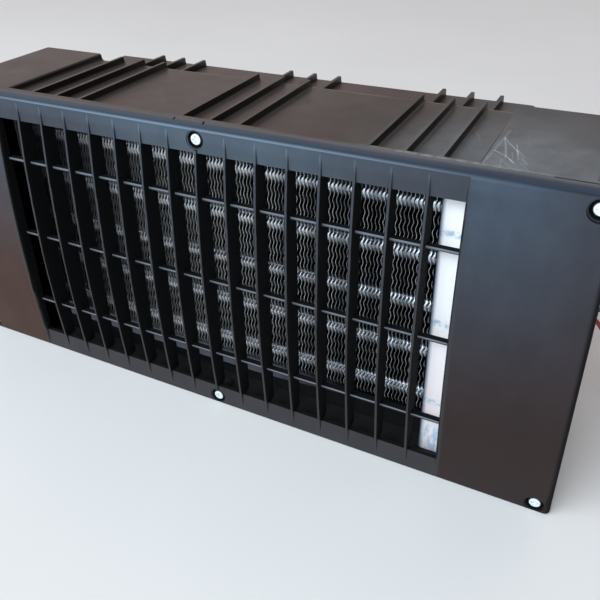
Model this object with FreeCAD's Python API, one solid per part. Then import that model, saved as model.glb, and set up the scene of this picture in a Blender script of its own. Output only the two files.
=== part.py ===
import FreeCAD, Part
import math
import os

Vec = FreeCAD.Vector
x_axis = Vec(1, 0, 0)
y_axis = Vec(0, 1, 0)
z_axis = Vec(0, 0, 1)

# A vehicle cab heater. X runs along its length, the grille faces -Y and Z is up.
# Lengths are millimetres. Depths are measured back from the flat bands of the fascia
# (y = 0 while the pieces are made), and the whole part is moved to its centre at the end.

# Moulded shells
wall = 2.5
contact_gap = 0.05
thread_gap = 0.05

# Fascia with its grille
fascia_width = 390.0
fascia_height = 177.2
fascia_rim = 9.8
fascia_corner = 5.0
fascia_round = 3.0
fascia_foot_round = 1.4
fascia_bow = 5.2
band_height = 13.4
panel_width = 59.6
panel_lap = 0.6
panel_round = 1.8
louver_count = 15
louver_thickness = 1.5
louver_setback = 0.35
louver_back = 7.7
louver_round = 0.4
bar_count = 3
bar_thickness = 1.5
bar_front = 0.8
bar_back = 4.2
bar_drop = 0.6

# Fascia screws
screw_top_drop = 6.6
screw_foot_z = 5.3
screw_edge_x = 7.7
head_radius = 3.5
head_height = 2.4
head_seat = 3.0
pocket_radius = 4.4
spot_radius = 5.2
spot_depth = 0.4
boss_radius = 6.0
shank_radius = 1.75
shank_length = 9.2
recess_width = 0.9
recess_length = 3.8
recess_depth = 1.1

# Front housing
housing_inset = 10.0
housing_depth = 95.0
seam_gap = 0.2
lip_depth = 3.05
collar_front = 6.0
collar_gap = 0.3
block_width = 48.7
block_round = 1.7
block_foot_round = 2.4
block_edge_round = 2.0
recess_drop = 4.3
rib_thickness = 2.0
rib_slope = 0.8
rib_shift = 0.9
rib_foot_round = 1.4
rib_sink = 0.05
rib_groups = 3
ribs_in_group = 3
group_pitches = 6
post_radius = 4.0

# Rear housing, set to the left of the middle to leave room for the hoses
rear_depth = 141.0
rear_drop = 14.2
left_bay = 28.0
pipe_bay = 46.0
rear_round = 2.0
rear_rib_height = 4.2
rear_rib_slope = 0.8
flange_width = 8.0
flange_drop = 5.5
flange_screw_drop = 2.95
flange_screw_inset = 12.5
housing_screw_length = 11.0
housing_head_radius = 3.0
housing_shank_radius = 1.5

# Fans, each in a shroud ring that sits inside the rear wall
ring_gap = 4.4
aperture_step = 4.0
tip_gap = 2.5
shroud_lug_depth = 8.0
lug_step = 1.8
guard_thickness = 3.0
guard_lug_radius = 6.0
guard_rim_width = 4.0
guard_hub_radius = 22.0
guard_ring_width = 1.8
guard_ring_count = 6
guard_spokes = 8
guard_spoke_width = 3.0
motor_radius = 19.0
motor_length = 36.0
motor_cap_radius = 17.0
motor_cap_length = 3.0
motor_screw_circle = 13.0
motor_screw_count = 3
motor_screw_length = 8.0
shaft_radius = 2.5
shaft_length = 39.0
running_gap = 0.05
impeller_hub_radius = 25.0
impeller_hub_wall = 3.0
impeller_hub_depth = 20.0
impeller_disc = 2.5
impeller_boss_radius = 6.0
impeller_gap = 1.5
shaft_nose = 1.55
blade_count = 7
blade_thickness = 1.8
blade_root_chord = 21.0
blade_tip_chord = 33.0
blade_root_angle = 50.0
blade_tip_angle = 28.0
clip_radius = 5.0
clip_thickness = 1.0

# Heater core, two rows of tubes through plate fins, close under the housing's top
core_front = 15.5
core_foot = 20.7
row_front = 6.2
row_pitch = 24.0
row_rear = 12.0
tube_foot = 10.8
tube_head = 19.0
tubes_in_row = 5
tube_radius = 4.75
tube_wall = 0.5
fin_pitch = 2.03
fin_thickness = 0.2
fin_inset = 17.6
plate_front = 10.5
plate_bend = 1.8
plate_thickness = 1.2
plate_gap = 1.2
plate_margin = 0.5
plate_front_flange = 16.0
plate_rear_flange = 20.0
sheet_thickness = 1.0
apron_lip = 2.5
apron_clear = 0.7
apron_stop = 17.2
tube_overhang = 6.4
seal_setback = 6.0
core_screw_inset = 55.0
core_screw_edge = 4.5
core_screw_length = 11.0

# Water pipes
pipe_radius = 8.0
pipe_wall = 1.2
pipe_inset = 19.0
pipe_bend = 13.0
inlet_drop = 27.6
spigot_reach = 52.2
reducer_length = 6.0
stop_radius = 9.5
stop_length = 2.0
grommet_wall = 3.0
grommet_lip = 2.0
grommet_lip_radius = 14.0

# Threaded inserts in the underside of the end blocks, for M6 bolts
insert_inset = 20.0
insert_front = 30.0
insert_spacing = 50.0
insert_radius = 4.2
insert_bore = 2.5
insert_length = 10.0
insert_relief = 2.0
insert_boss_radius = 7.5

# Supply leads
lead_radius = 1.1
lead_grommet_y = 50.0
lead_grommet_z = 94.6
lead_grommet_radius = 6.0
lead_grommet_lip = 8.0
lead_spread_y = 1.2
lead_spread_z = 1.7
terminal_barrel_radius = 1.9
terminal_barrel_length = 6.0
terminal_blade_width = 6.6
terminal_blade_height = 2.6
terminal_blade_length = 8.0
terminal_slot_height = 1.0
terminal_slot_width = 5.2

# Places worked out from the sizes above
half_width = fascia_width / 2
middle_z = fascia_height / 2
bow_radius = (fascia_bow ** 2 + middle_z ** 2) / (2 * fascia_bow)
opening_half = half_width - panel_width
louver_pitch = 2 * (opening_half + panel_lap) / (louver_count + 1)
opening_low = band_height
opening_high = fascia_height - band_height
housing_half = half_width - housing_inset
block_edge = housing_half - block_width
lip_front = fascia_rim + seam_gap
lip_back = fascia_rim + lip_depth
base_low = recess_drop
base_high = fascia_height - recess_drop
inner_low = base_low + wall
inner_high = base_high - wall
collar_back = lip_back + wall
duct_left = left_bay - housing_half
duct_right = housing_half - pipe_bay
duct_center = (duct_left + duct_right) / 2
rear_low = rear_drop
rear_high = fascia_height - rear_drop
rear_inner_half = (rear_high - rear_low) / 2 - wall
fan_offset = (duct_right - duct_left - 2 * wall) / 4
fan_ring_radius = min(rear_inner_half, fan_offset) - wall - ring_gap
fan_aperture = fan_ring_radius - aperture_step
impeller_radius = fan_ring_radius - tip_gap
guard_lug_offset = (fan_ring_radius + wall + lug_step) / math.sqrt(2)
fan_places = {"left": duct_center - fan_offset, "right": duct_center + fan_offset}
motor_front = rear_depth - motor_length
shaft_front = motor_front - impeller_gap - impeller_hub_depth / 4 - impeller_disc - clip_thickness * 2
disc_front = shaft_front + shaft_nose
front_row_y = core_front + row_front
rear_row_y = front_row_y + row_pitch
core_back = rear_row_y + row_rear
core_top = inner_high - sheet_thickness
core_bottom = inner_low + core_foot
tube_low = core_bottom + tube_foot
tube_high = core_top - tube_head
tube_pitch = (tube_high - tube_low) / (tubes_in_row - 1)
fin_left = duct_left + fin_inset
fin_right = duct_right - fin_inset
plate_left = fin_left - plate_gap
plate_right = fin_right + plate_gap
tube_left = plate_left - plate_thickness - tube_overhang / 2
tube_right = plate_right + plate_thickness + tube_overhang
pipe_x = housing_half - pipe_inset
spigot_end = housing_depth + spigot_reach
core_screw_reach = plate_rear_flange - core_screw_edge
insert_x = housing_half - insert_inset
origin_shift = Vec(0, (fascia_bow - spigot_end) / 2, 0)


def box(x0, x1, y0, y1, z0, z1):
    return Part.makeBox(x1 - x0, y1 - y0, z1 - z0, Vec(x0, y0, z0))


def rod_x(radius, x0, x1, y, z):
    return Part.makeCylinder(radius, x1 - x0, Vec(x0, y, z), x_axis)


def rod_y(radius, x, z, y0, y1):
    return Part.makeCylinder(radius, y1 - y0, Vec(x, y0, z), y_axis)


def rod_z(radius, x, y, z0, z1):
    return Part.makeCylinder(radius, z1 - z0, Vec(x, y, z0), z_axis)


def fuse_all(shapes):
    joined = shapes[0].fuse(shapes[1:])
    return joined.removeSplitter()


def flip(shape):
    # The underside repeats the top, mirrored about mid height.
    return shape.mirror(Vec(0, 0, middle_z), z_axis)


def edges_along(shape, direction, wanted):
    # Straight edges along a direction whose middle point passes a test.
    found = []
    for edge in shape.Edges:
        span = edge.lastVertex().Point - edge.firstVertex().Point
        if span.Length < 1e-6:
            continue
        if abs(abs(span.normalize().dot(direction)) - 1) > 1e-6:
            continue
        if wanted(edge.CenterOfMass):
            found.append(edge)
    return found


def polygon_x(points, x0, x1):
    # A closed outline of (y, z) points carried along X.
    corners = [Vec(x0, y, z) for y, z in points]
    outline = Part.makePolygon(corners + corners[:1])
    return Part.Face(outline).extrude(Vec(x1 - x0, 0, 0))


def bow_solid(x0, x1, y_back, shift):
    # The bulged front: an arc through the fascia's top and bottom edges, moved back by a shift
    # and carried a little past both edges.
    reach = middle_z + wall
    end_y = shift - fascia_bow + bow_radius - math.sqrt(bow_radius ** 2 - reach ** 2)
    low = middle_z - reach
    high = middle_z + reach
    arc = Part.Arc(Vec(x0, end_y, low), Vec(x0, shift - fascia_bow, middle_z), Vec(x0, end_y, high)).toShape()
    back = Part.makePolygon([
        Vec(x0, end_y, high),
        Vec(x0, y_back, high),
        Vec(x0, y_back, low),
        Vec(x0, end_y, low),
    ])
    outline = Part.Wire([arc] + back.Edges)
    return Part.Face(outline).extrude(Vec(x1 - x0, 0, 0))


def path_wire(points, bend_radius):
    # Straight runs joined by tangent arcs, with one radius for each inner point.
    corners = [Vec(*p) for p in points]
    edges = []
    start = corners[0]
    for before, corner, after, radius in zip(corners, corners[1:], corners[2:], bend_radius):
        back = (before - corner).normalize()
        ahead = (after - corner).normalize()
        half_turn = (math.pi - back.getAngle(ahead)) / 2
        reach = radius * math.tan(half_turn)
        arc_start = corner + back * reach
        arc_end = corner + ahead * reach
        middle = (back + ahead).normalize()
        arc_middle = corner + middle * (radius / math.cos(half_turn) - radius)
        edges.append(Part.LineSegment(start, arc_start).toShape())
        edges.append(Part.Arc(arc_start, arc_middle, arc_end).toShape())
        start = arc_end
    edges.append(Part.LineSegment(start, corners[-1]).toShape())
    return Part.Wire(edges)


def sweep_round(wire, radius, start, direction):
    ring = Part.Wire([Part.makeCircle(radius, Vec(*start), direction)])
    return wire.makePipeShell([ring], True, False)


def pan_screw(x, z, seat, radius, height, shank, length):
    # A pan head facing -Y, with a cross recess, and a shank running back from its seat.
    head = rod_y(radius, x, z, seat - height, seat)
    rim = [e for e in head.Edges if abs(e.CenterOfMass.y - (seat - height)) < 1e-6]
    head = head.makeFillet(height * 0.55, rim)
    front = seat - height - 0.1
    floor = seat - height + recess_depth
    slot_a = box(x - recess_length / 2, x + recess_length / 2, front, floor,
                 z - recess_width / 2, z + recess_width / 2)
    slot_b = box(x - recess_width / 2, x + recess_width / 2, front, floor,
                 z - recess_length / 2, z + recess_length / 2)
    head = head.cut(slot_a.fuse(slot_b))
    tip = length * 0.12
    body = rod_y(shank, x, z, seat, seat + length - tip)
    point = Part.makeCone(shank, shank * 0.4, tip, Vec(x, seat + length - tip, z), y_axis)
    return head.fuse([body, point]).removeSplitter()


def face_back(shape, y):
    # Turns a screw that faces the front into one that faces the back, about a depth.
    return shape.mirror(Vec(0, y, 0), y_axis)


screw_levels = (screw_foot_z, fascia_height - screw_top_drop)
fascia_screw_places = [
    (side * (half_width - screw_edge_x), z)
    for side in (-1, 1)
    for z in screw_levels
] + [(0.0, z) for z in screw_levels]

rib_places = [
    louver_pitch * (group * group_pitches + rib) + rib_shift
    for group in range(-(rib_groups // 2), rib_groups // 2 + 1)
    for rib in range(-(ribs_in_group // 2), ribs_in_group // 2 + 1)
]

flange_screw_places = [
    (x, z)
    for x in (duct_left - flange_width / 2, duct_right + flange_width / 2)
    for z in (rear_low + flange_screw_inset, rear_high - flange_screw_inset)
] + [
    (x, z)
    for x in (-3 * louver_pitch, 3 * louver_pitch)
    for z in (rear_low - flange_screw_drop, rear_high + flange_screw_drop)
]

core_screw_places = [
    (x, z)
    for x in (plate_left - core_screw_reach, plate_right + core_screw_reach)
    for z in (core_screw_inset, fascia_height - core_screw_inset)
]

insert_places = [
    (side * insert_x, insert_front + step * insert_spacing)
    for side in (-1, 1)
    for step in (0, 1)
]

tube_levels = [tube_low + tube_pitch * k for k in range(tubes_in_row)]
tube_places = [(y, z) for y in (front_row_y, rear_row_y) for z in tube_levels]
inlet_z = tube_high - inlet_drop
pipe_places = {"inlet": inlet_z, "outlet": tube_low}


def louver(x):
    # A thin blade with the bowed front edge, let into the bands above and below the opening.
    blade = bow_solid(x - louver_thickness / 2, x + louver_thickness / 2, louver_back, louver_setback)
    past = louver_back + wall
    blade = blade.common(box(x - past, x + past, -past, past, fascia_round, fascia_height - fascia_round))
    for z0, z1 in ((0, opening_low - wall / 2), (opening_high + wall / 2, fascia_height)):
        blade = blade.cut(box(x - past, x + past, wall / 2, past, z0, z1))
    blade = blade.Solids[0]
    lip = [e for e in blade.Edges if e.CenterOfMass.y < -fascia_bow / 2 and e.Length > middle_z]
    return blade.makeFillet(louver_round, lip)


def middle_cutter():
    # What is cleared in front of the flat bands. Its outline is turned about the bow's own axis,
    # so that the panels keep an even round along their edges beside the opening.
    front = -fascia_bow - panel_round / 20
    chord = panel_round * (1 - math.sqrt(0.5))
    inner = [
        (opening_half + panel_round, front),
        (opening_half + chord, front + chord),
        (opening_half, front + panel_round),
    ]
    right = [Vec(x, y, middle_z) for x, y in inner]
    left = [Vec(-x, y, middle_z) for x, y in inner]
    back = Vec(0, fascia_bow + 1, 0)
    ahead = Vec(0, -fascia_bow, 0)
    outline = Part.Wire([
        Part.Arc(*right).toShape(),
        Part.makeLine(right[2], right[2] + back),
        Part.makeLine(right[2] + back, left[2] + back),
        Part.makeLine(left[2] + back, left[2]),
        Part.Arc(*left[::-1]).toShape(),
        Part.makeLine(left[0], left[0] + ahead),
        Part.makeLine(left[0] + ahead, right[0] + ahead),
        Part.makeLine(right[0] + ahead, right[0]),
    ])
    axis_point = Vec(0, bow_radius - fascia_bow, middle_z)
    sweep = math.degrees(math.asin((middle_z + wall) / bow_radius))
    face = Part.Face(outline)
    face.rotate(axis_point, x_axis, -sweep)
    turned = face.revolve(axis_point, x_axis, 2 * sweep)
    reach = middle_z + wall
    return turned.common(box(-half_width, half_width, -2 * fascia_bow - wall, 0, middle_z - reach, middle_z + reach))


def front_grille():
    prism = box(-half_width, half_width, -fascia_bow - 1, fascia_rim, 0, fascia_height)
    prism = prism.makeFillet(fascia_corner, edges_along(prism, y_axis, lambda p: p.z > middle_z))
    shell = prism.common(bow_solid(-half_width - 1, half_width + 1, fascia_rim + 1, 0)).Solids[0]
    high_edges = [e for e in shell.Edges if max(v.Z for v in e.Vertexes) > fascia_foot_round]
    rim_edges = [e for e in high_edges if max(v.Y for v in e.Vertexes) < fascia_rim / 2]
    shell = shell.makeFillet(fascia_round, rim_edges)
    low_edges = [e for e in shell.Edges if max(v.Z for v in e.Vertexes) < 0.01]
    foot_edges = [e for e in low_edges if min(v.Y for v in e.Vertexes) < fascia_rim - 0.01]
    shell = shell.makeFillet(fascia_foot_round, foot_edges)
    outer = shell.copy()
    past = fascia_bow + 5
    shell = shell.cut(middle_cutter())
    panel_in = half_width - wall
    inside = box(-opening_half - wall, opening_half + wall, wall, fascia_rim + 1, wall, fascia_height - wall)
    hollow = bow_solid(-panel_in, panel_in, fascia_rim + 1, wall)
    hollow = hollow.common(box(-panel_in, panel_in, -past, fascia_rim + 1, wall, fascia_height - wall))
    hollow = hollow.cut(box(-opening_half - wall, opening_half + wall, -past, fascia_rim + 2, 0, fascia_height))
    shell = shell.cut([inside, hollow])
    bosses = [rod_y(boss_radius, x, z, wall / 2, collar_front).common(outer) for x, z in fascia_screw_places]
    shell = fuse_all([shell] + bosses)
    shell = shell.cut(box(-opening_half, opening_half, -past, past * 2, opening_low, opening_high))
    louvers = [louver(louver_pitch * (i - louver_count // 2)) for i in range(louver_count)]
    bars = []
    for i in range(bar_count):
        z = opening_low + (opening_high - opening_low) * (2 * i + 1) / (2 * bar_count) - bar_drop
        bars.append(box(-opening_half - wall / 2, opening_half + wall / 2, bar_front, bar_back,
                        z - bar_thickness / 2, z + bar_thickness / 2))
    shell = fuse_all([shell] + louvers + bars)
    holes = []
    for x, z in fascia_screw_places:
        holes.append(rod_y(spot_radius, x, z, -past, spot_depth))
        holes.append(rod_y(pocket_radius, x, z, -past, head_seat))
        holes.append(rod_y(shank_radius + contact_gap * 4, x, z, -past, past * 2))
    return shell.cut(holes)


def fascia_screws():
    screws = [pan_screw(x, z, head_seat, head_radius, head_height, shank_radius, shank_length)
              for x, z in fascia_screw_places]
    return Part.makeCompound(screws)


def end_block(side):
    block = box(block_edge, housing_half, lip_back, housing_depth, 0, fascia_height)
    block = block.makeFillet(block_round, edges_along(block, y_axis, lambda p: p.x < block_edge + 1))
    block = block.makeFillet(block_edge_round, edges_along(block, y_axis, lambda p: p.x > housing_half - 1))
    if side < 0:
        block = block.mirror(Vec(0, 0, 0), x_axis)
    return block


def long_rib(x):
    # A straight rib with a hollow round along both sides of its foot and a sloped rear end.
    low = base_high - wall / 2
    foot = base_high - rib_sink
    half = rib_thickness / 2
    spread = half + rib_foot_round
    chord = rib_foot_round * (1 - math.sqrt(0.5))
    right = [
        Vec(x + half, 0, foot + rib_foot_round),
        Vec(x + half + chord, 0, foot + chord),
        Vec(x + spread, 0, foot),
    ]
    left = [Vec(2 * x - p.x, 0, p.z) for p in right]
    sides = [
        Part.makeLine(left[0], Vec(x - half, 0, fascia_height)),
        Part.makeLine(Vec(x - half, 0, fascia_height), Vec(x + half, 0, fascia_height)),
        Part.makeLine(Vec(x + half, 0, fascia_height), right[0]),
        Part.Arc(*right).toShape(),
        Part.makeLine(right[2], Vec(x + spread, 0, low)),
        Part.makeLine(Vec(x + spread, 0, low), Vec(x - spread, 0, low)),
        Part.makeLine(Vec(x - spread, 0, low), left[2]),
        Part.Arc(*left[::-1]).toShape(),
    ]
    bar = Part.Face(Part.Wire(sides)).extrude(Vec(0, housing_depth, 0))
    ends = [
        (lip_back - wall / 2, low),
        (lip_back - wall / 2, fascia_height),
        (housing_depth - rib_slope, fascia_height),
        (housing_depth, base_high),
        (housing_depth, low),
    ]
    return bar.common(polygon_x(ends, x - spread, x + spread))


def front_housing():
    middle = box(-block_edge - block_round - 1, block_edge + block_round + 1, collar_front, housing_depth,
                 base_low, base_high)
    collar_half = half_width - wall - collar_gap
    collar_low = wall + collar_gap
    collar_high = fascia_height - wall - collar_gap
    collar = box(-collar_half, collar_half, collar_front, lip_back, collar_low, collar_high)
    lip = box(-half_width, half_width, lip_front, lip_back, 0, fascia_height)
    lip = lip.makeFillet(fascia_corner, edges_along(lip, y_axis, lambda p: p.z > middle_z))
    lip = lip.makeFillet(fascia_foot_round, edges_along(lip, y_axis, lambda p: p.z < middle_z))
    outer = fuse_all([middle, collar, lip, end_block(-1), end_block(1)])
    feet = edges_along(outer, y_axis, lambda p: abs(abs(p.x) - block_edge) < 0.01 and p.y > lip_back)
    outer = outer.makeFillet(block_foot_round, feet)
    room_half = housing_half - wall
    step = block_edge + wall
    mouth = box(-room_half + wall, room_half - wall, collar_front - 1, collar_back, inner_low, inner_high)
    room_middle = box(-step - 1, step + 1, collar_back - 1, housing_depth - wall, inner_low, inner_high)
    rooms = [box(side * (step + room_half) / 2 - (room_half - step) / 2,
                 side * (step + room_half) / 2 + (room_half - step) / 2,
                 collar_back, housing_depth - wall, wall, fascia_height - wall) for side in (-1, 1)]
    rear_mouth = box(duct_left + wall, duct_right - wall, housing_depth - wall - 1, housing_depth + 1,
                     rear_low + wall, rear_high - wall)
    shell = outer.cut([mouth, room_middle, rear_mouth] + rooms)
    ribs = [long_rib(x) for x in rib_places]
    ribs += [flip(rib) for rib in ribs]
    tall = box(-housing_half, housing_half, core_back, housing_depth, wall / 2, fascia_height - wall / 2)
    partitions = [
        box(duct_left, duct_left + wall, core_back, housing_depth, 0, fascia_height).common(tall).common(outer),
        box(duct_right - wall, duct_right, core_back, housing_depth, 0, fascia_height).common(tall).common(outer),
    ]
    screw_zone = box(-half_width, half_width, collar_front, lip_back, collar_low, collar_high)
    posts = [rod_y(post_radius, x, z, collar_front, lip_back).common(screw_zone) for x, z in fascia_screw_places]
    posts += [rod_y(post_radius, x, z, core_back, core_back + core_screw_length + wall)
              for x, z in core_screw_places]
    posts += [rod_y(post_radius, x, z, housing_depth - housing_screw_length - wall, housing_depth).common(outer)
              for x, z in flange_screw_places]
    insert_depth = insert_length + insert_relief
    posts += [rod_z(insert_boss_radius, x, y, 0, insert_depth + wall) for x, y in insert_places]
    shell = fuse_all([shell] + ribs + partitions + posts)
    holes = [rod_y(shank_radius + thread_gap, x, z, 0, head_seat + shank_length + thread_gap)
             for x, z in fascia_screw_places]
    holes += [rod_y(housing_shank_radius + thread_gap, x, z, core_back - 1, core_back + core_screw_length)
              for x, z in core_screw_places]
    holes += [rod_y(housing_shank_radius + thread_gap, x, z, housing_depth - housing_screw_length,
                    housing_depth + 1) for x, z in flange_screw_places]
    holes += [rod_z(insert_radius, x, y, -1, insert_depth) for x, y in insert_places]
    holes += [rod_y(pipe_radius + grommet_wall, pipe_x, z, housing_depth - wall * 2, housing_depth + wall)
              for z in pipe_places.values()]
    holes.append(rod_x(lead_grommet_radius, housing_half - wall * 2, housing_half + wall,
                       lead_grommet_y, lead_grommet_z))
    return shell.cut(holes)


def rear_rib(x):
    outline = [
        (housing_depth + wall / 2, rear_high - wall / 2),
        (housing_depth + wall / 2, rear_high + rear_rib_height),
        (rear_depth - 2 * rear_rib_slope, rear_high + rear_rib_height),
        (rear_depth - rear_rib_slope, rear_high),
        (rear_depth - rear_rib_slope, rear_high - wall / 2),
    ]
    return polygon_x(outline, x - rib_thickness / 2, x + rib_thickness / 2)


def guard_lugs(fan_x):
    return [(fan_x + i * guard_lug_offset, middle_z + k * guard_lug_offset) for i in (-1, 1) for k in (-1, 1)]


def rear_housing():
    shell = box(duct_left, duct_right, housing_depth, rear_depth, rear_low, rear_high)
    shell = shell.makeFillet(rear_round, edges_along(shell, y_axis, lambda p: True))
    flange = box(duct_left - flange_width, duct_right + flange_width, housing_depth, housing_depth + wall,
                 rear_low - flange_drop, rear_high + flange_drop)
    ribs = [rear_rib(x) for x in rib_places]
    ribs += [flip(rib) for rib in ribs]
    shell = fuse_all([shell, flange] + ribs)
    shell = shell.cut(box(duct_left + wall, duct_right - wall, housing_depth - 1, rear_depth - wall,
                          rear_low + wall, rear_high - wall))
    screw_hole = housing_shank_radius + contact_gap * 4
    holes = []
    for fan_x in fan_places.values():
        holes.append(rod_y(fan_aperture, fan_x, middle_z, rear_depth - wall * 2, rear_depth + 1))
        for x, z in guard_lugs(fan_x):
            holes.append(rod_y(screw_hole, x, z, rear_depth - wall * 2, rear_depth + 1))
    for x, z in flange_screw_places:
        holes.append(rod_y(screw_hole, x, z, housing_depth - 1, housing_depth + wall * 2))
    return shell.cut(holes)


def fan_shroud(fan_x):
    # A ring round the fan wheel, with four lugs for the screws that hold the guard.
    back = rear_depth - wall
    ring = rod_y(fan_ring_radius + wall, fan_x, middle_z, shaft_front, back)
    lugs = [rod_y(post_radius, x, z, back - shroud_lug_depth, back) for x, z in guard_lugs(fan_x)]
    shroud = fuse_all([ring] + lugs)
    holes = [rod_y(fan_ring_radius, fan_x, middle_z, shaft_front - 1, back + 1)]
    screw_tip = rear_depth + guard_thickness - housing_screw_length
    holes += [rod_y(housing_shank_radius + thread_gap, x, z, screw_tip - contact_gap, back + 1)
              for x, z in guard_lugs(fan_x)]
    return shroud.cut(holes)


def back_screws(places, seat, length):
    return [face_back(pan_screw(x, z, seat, housing_head_radius, head_height, housing_shank_radius, length), seat)
            for x, z in places]


def housing_screws():
    return Part.makeCompound(back_screws(flange_screw_places, housing_depth + wall, housing_screw_length))


def motor_screw_spots(fan_x):
    spots = []
    for i in range(motor_screw_count):
        turn = 2 * math.pi * i / motor_screw_count + math.pi / 2
        spots.append((fan_x + motor_screw_circle * math.cos(turn), middle_z + motor_screw_circle * math.sin(turn)))
    return spots


def fan_guard(fan_x):
    back = rear_depth + guard_thickness
    rim = rod_y(fan_aperture + guard_rim_width, fan_x, middle_z, rear_depth, back)
    rim = rim.cut(rod_y(fan_aperture, fan_x, middle_z, rear_depth - 1, back + 1))
    parts = [rim, rod_y(guard_hub_radius, fan_x, middle_z, rear_depth, back)]
    ring_step = (fan_aperture - guard_hub_radius) / (guard_ring_count + 1)
    for i in range(1, guard_ring_count + 1):
        radius = guard_hub_radius + ring_step * i
        ring = rod_y(radius + guard_ring_width / 2, fan_x, middle_z, rear_depth, back)
        parts.append(ring.cut(rod_y(radius - guard_ring_width / 2, fan_x, middle_z, rear_depth - 1, back + 1)))
    for i in range(guard_spokes):
        spoke = box(guard_hub_radius / 2, fan_aperture + guard_rim_width / 2, rear_depth, back,
                    -guard_spoke_width / 2, guard_spoke_width / 2)
        spoke.rotate(Vec(0, 0, 0), y_axis, 360.0 * (i + 0.5) / guard_spokes)
        spoke.translate(Vec(fan_x, 0, middle_z))
        parts.append(spoke)
    parts += [rod_y(guard_lug_radius, x, z, rear_depth, back) for x, z in guard_lugs(fan_x)]
    guard = fuse_all(parts)
    holes = [rod_y(housing_shank_radius + contact_gap * 4, x, z, rear_depth - 1, back + 1)
             for x, z in guard_lugs(fan_x) + motor_screw_spots(fan_x)]
    holes.append(rod_y(fan_aperture, fan_x, middle_z, 0, rear_depth))
    return guard.cut(holes)


def guard_screws():
    places = [spot for fan_x in fan_places.values() for spot in guard_lugs(fan_x)]
    return Part.makeCompound(back_screws(places, rear_depth + guard_thickness, housing_screw_length))


def motor_screws():
    places = [spot for fan_x in fan_places.values() for spot in motor_screw_spots(fan_x)]
    return Part.makeCompound(back_screws(places, rear_depth + guard_thickness, motor_screw_length))


def fan_motor(fan_x):
    can = rod_y(motor_radius, fan_x, middle_z, motor_front, rear_depth - motor_cap_length)
    front_rim = [e for e in can.Edges if abs(e.CenterOfMass.y - motor_front) < 1e-6]
    can = can.makeFillet(wall, front_rim)
    cap = rod_y(motor_cap_radius, fan_x, middle_z, rear_depth - motor_cap_length, rear_depth)
    motor = fuse_all([can, cap])
    holes = [rod_y(shaft_radius + running_gap, fan_x, middle_z, motor_front - 1,
                   shaft_front + shaft_length + contact_gap * 10)]
    depth = motor_screw_length - guard_thickness
    holes += [rod_y(housing_shank_radius + thread_gap, x, z, rear_depth - depth - thread_gap, rear_depth + 1)
              for x, z in motor_screw_spots(fan_x)]
    return motor.cut(holes)


def fan_shaft(fan_x):
    shaft = rod_y(shaft_radius, fan_x, middle_z, shaft_front, shaft_front + shaft_length)
    return shaft.makeChamfer(shaft_radius / 6, [e for e in shaft.Edges if len(e.Vertexes) == 1])


def blade_section(radius, chord, angle, axial):
    # A thin rectangle in the plane at a radius, tilted from the turning direction.
    turn = math.radians(angle)
    along = Vec(0, math.sin(turn), math.cos(turn)) * (chord / 2)
    across = Vec(0, math.cos(turn), -math.sin(turn)) * (blade_thickness / 2)
    centre = Vec(radius, axial, 0)
    corners = [centre + along + across, centre - along + across, centre - along - across, centre + along - across]
    return Part.makePolygon(corners + corners[:1])


def fan_impeller(fan_x):
    inner = impeller_hub_radius - impeller_hub_wall
    hub_back = disc_front + impeller_hub_depth
    hub = rod_y(impeller_hub_radius, 0, 0, disc_front, hub_back)
    nose = [e for e in hub.Edges if abs(e.CenterOfMass.y - disc_front) < 1e-6]
    hub = hub.makeFillet(impeller_disc, nose)
    hub = hub.cut(rod_y(inner, 0, 0, disc_front + impeller_disc, hub_back + 1))
    boss = rod_y(impeller_boss_radius, 0, 0, disc_front, motor_front - impeller_gap)
    middle = (disc_front + impeller_disc + hub_back) / 2
    root = blade_section(inner + impeller_hub_wall * 0.4, blade_root_chord, blade_root_angle, middle)
    tip = blade_section(impeller_radius + 1, blade_tip_chord, blade_tip_angle, middle)
    blade = Part.makeLoft([root, tip], True, True)
    blade = blade.common(rod_y(impeller_radius, 0, 0, disc_front, hub_back))
    parts = [hub, boss]
    for i in range(blade_count):
        turned = blade.copy()
        turned.rotate(Vec(0, 0, 0), y_axis, 360.0 * i / blade_count)
        parts.append(turned)
    wheel = fuse_all(parts)
    wheel = wheel.cut(rod_y(shaft_radius, 0, 0, disc_front - 1, hub_back))
    wheel.translate(Vec(fan_x, 0, middle_z))
    return wheel


def impeller_clip(fan_x):
    clip = rod_y(clip_radius, fan_x, middle_z, disc_front - clip_thickness, disc_front)
    return clip.cut(rod_y(shaft_radius, fan_x, middle_z, disc_front - 2 * clip_thickness, disc_front + 1))


def core_fins():
    plate = box(0, fin_thickness, core_front, core_back, core_bottom, core_top)
    plate = plate.cut([rod_x(tube_radius, -1, 1, y, z) for y, z in tube_places])
    count = int((fin_right - fin_left) / fin_pitch)
    start = (fin_left + fin_right - count * fin_pitch - fin_thickness) / 2
    fins = []
    for i in range(count + 1):
        fin = plate.copy()
        fin.translate(Vec(start + i * fin_pitch, 0, 0))
        fins.append(fin)
    return Part.makeCompound(fins)


def tube_ring(y, z, x):
    outer = Part.Wire([Part.makeCircle(tube_radius, Vec(x, y, z), x_axis)])
    inner = Part.Wire([Part.makeCircle(tube_radius - tube_wall, Vec(x, y, z), x_axis)])
    return Part.Face(outer).cut(Part.Face(inner)).Faces[0]


def half_bend(first, second, x, side):
    # A half turn between two tube ends, bulging away from the core on the given side.
    start = Vec(x, first[0], first[1])
    end = Vec(x, second[0], second[1])
    centre = (start + end) * 0.5
    axis = (end - start).cross(x_axis).normalize()
    return tube_ring(first[0], first[1], x).revolve(centre, axis, -180.0 * side)


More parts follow.
